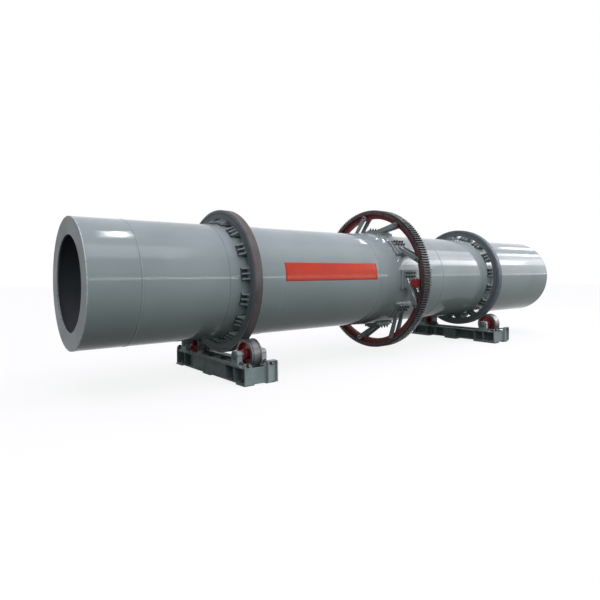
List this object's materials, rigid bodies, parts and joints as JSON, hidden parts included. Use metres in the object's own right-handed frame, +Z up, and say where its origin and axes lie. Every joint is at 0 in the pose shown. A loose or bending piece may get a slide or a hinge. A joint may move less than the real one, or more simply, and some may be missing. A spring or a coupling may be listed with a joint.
{
  "type": "rotary dryer",
  "caption": "Long steel dryer drum with two tyres and a girth gear, lying on roller stations with open frames.",
  "frame": {"origin": "on the floor under the middle of the drum, midway along and across it", "axes": "+X along the drum axis from the feed end to the discharge end, +Z up, +Y to the left seen from the feed end"},
  "size_m": [11.8, 2.848, 2.924],
  "materials": {
    "drum_paint": "glossy grey machine enamel, lightly wavy rolled plate",
    "tyre_steel": "forged steel tyre, dark brown-grey rolling face, painted sides",
    "gear_steel": "dark cast steel teeth with a dark red web",
    "bracket_paint": "dark grey enamel on brackets, links and shoes",
    "frame_paint": "semi-gloss grey enamel on welded frames",
    "housing_paint": "grey enamel on cast bearing housings",
    "roller_steel": "turned steel roller with a red painted web",
    "shaft_steel": "ground steel shaft"
  },
  "bodies": {
    "base": {"discharge_adjusting_stops": "frame_paint", "discharge_bearing_housings": "housing_paint", "discharge_frame_cross_members": "frame_paint", "discharge_frame_end_plates": "frame_paint", "discharge_frame_far_beam": "frame_paint", "discharge_frame_feet": "frame_paint", "discharge_frame_near_beam": "frame_paint", "feed_adjusting_stops": "frame_paint", "feed_bearing_housings": "housing_paint", "feed_frame_cross_members": "frame_paint", "feed_frame_end_plates": "frame_paint", "feed_frame_far_beam": "frame_paint", "feed_frame_feet": "frame_paint", "feed_frame_near_beam": "frame_paint"},
    "drum": {"discharge_end_ring": "drum_paint", "discharge_shell_course": "drum_paint", "discharge_tyre": "tyre_steel", "discharge_tyre_course": "drum_paint", "discharge_tyre_shoes": "bracket_paint", "feed_end_ring": "drum_paint", "feed_shell_course": "drum_paint", "feed_tyre": "tyre_steel", "feed_tyre_course": "drum_paint", "feed_tyre_shoes": "bracket_paint", "gear_bracket_feet": "bracket_paint", "gear_bracket_links": "bracket_paint", "gear_bracket_pins": "shaft_steel", "gear_bracket_saddles": "bracket_paint", "gear_lower_half": "gear_steel", "gear_shell_course": "drum_paint", "gear_upper_half": "gear_steel", "middle_shell_course": "drum_paint", "rear_shell_course": "drum_paint"},
    "discharge_left_roller": {"discharge_left_roller": "roller_steel", "discharge_left_roller_shaft": "shaft_steel"},
    "discharge_right_roller": {"discharge_right_roller": "roller_steel", "discharge_right_roller_shaft": "shaft_steel"},
    "feed_left_roller": {"feed_left_roller": "roller_steel", "feed_left_roller_shaft": "shaft_steel"},
    "feed_right_roller": {"feed_right_roller": "roller_steel", "feed_right_roller_shaft": "shaft_steel"}
  },
  "joints": [
    {"name": "drum_spin", "type": "hinge", "parent": "base", "child": "drum", "pos_m": [0, 0, 1.5], "axis": [1, 0, 0], "continuous": true},
    {"name": "feed_left_roller_spin", "type": "hinge", "parent": "base", "child": "feed_left_roller", "pos_m": [-3.575, 0.86626, 0.41486], "axis": [1, 0, 0], "continuous": true},
    {"name": "feed_right_roller_spin", "type": "hinge", "parent": "base", "child": "feed_right_roller", "pos_m": [-3.575, -0.86626, 0.41486], "axis": [1, 0, 0], "continuous": true},
    {"name": "discharge_left_roller_spin", "type": "hinge", "parent": "base", "child": "discharge_left_roller", "pos_m": [3.087, 0.86626, 0.41486], "axis": [1, 0, 0], "continuous": true},
    {"name": "discharge_right_roller_spin", "type": "hinge", "parent": "base", "child": "discharge_right_roller", "pos_m": [3.087, -0.86626, 0.41486], "axis": [1, 0, 0], "continuous": true}
  ],
  "couplings": [
    {"joint": "feed_left_roller_spin", "follows": "drum_spin", "ratio": -5.0877},
    {"joint": "feed_right_roller_spin", "follows": "drum_spin", "ratio": -5.0877},
    {"joint": "discharge_left_roller_spin", "follows": "drum_spin", "ratio": -5.0877},
    {"joint": "discharge_right_roller_spin", "follows": "drum_spin", "ratio": -5.0877}
  ]
}
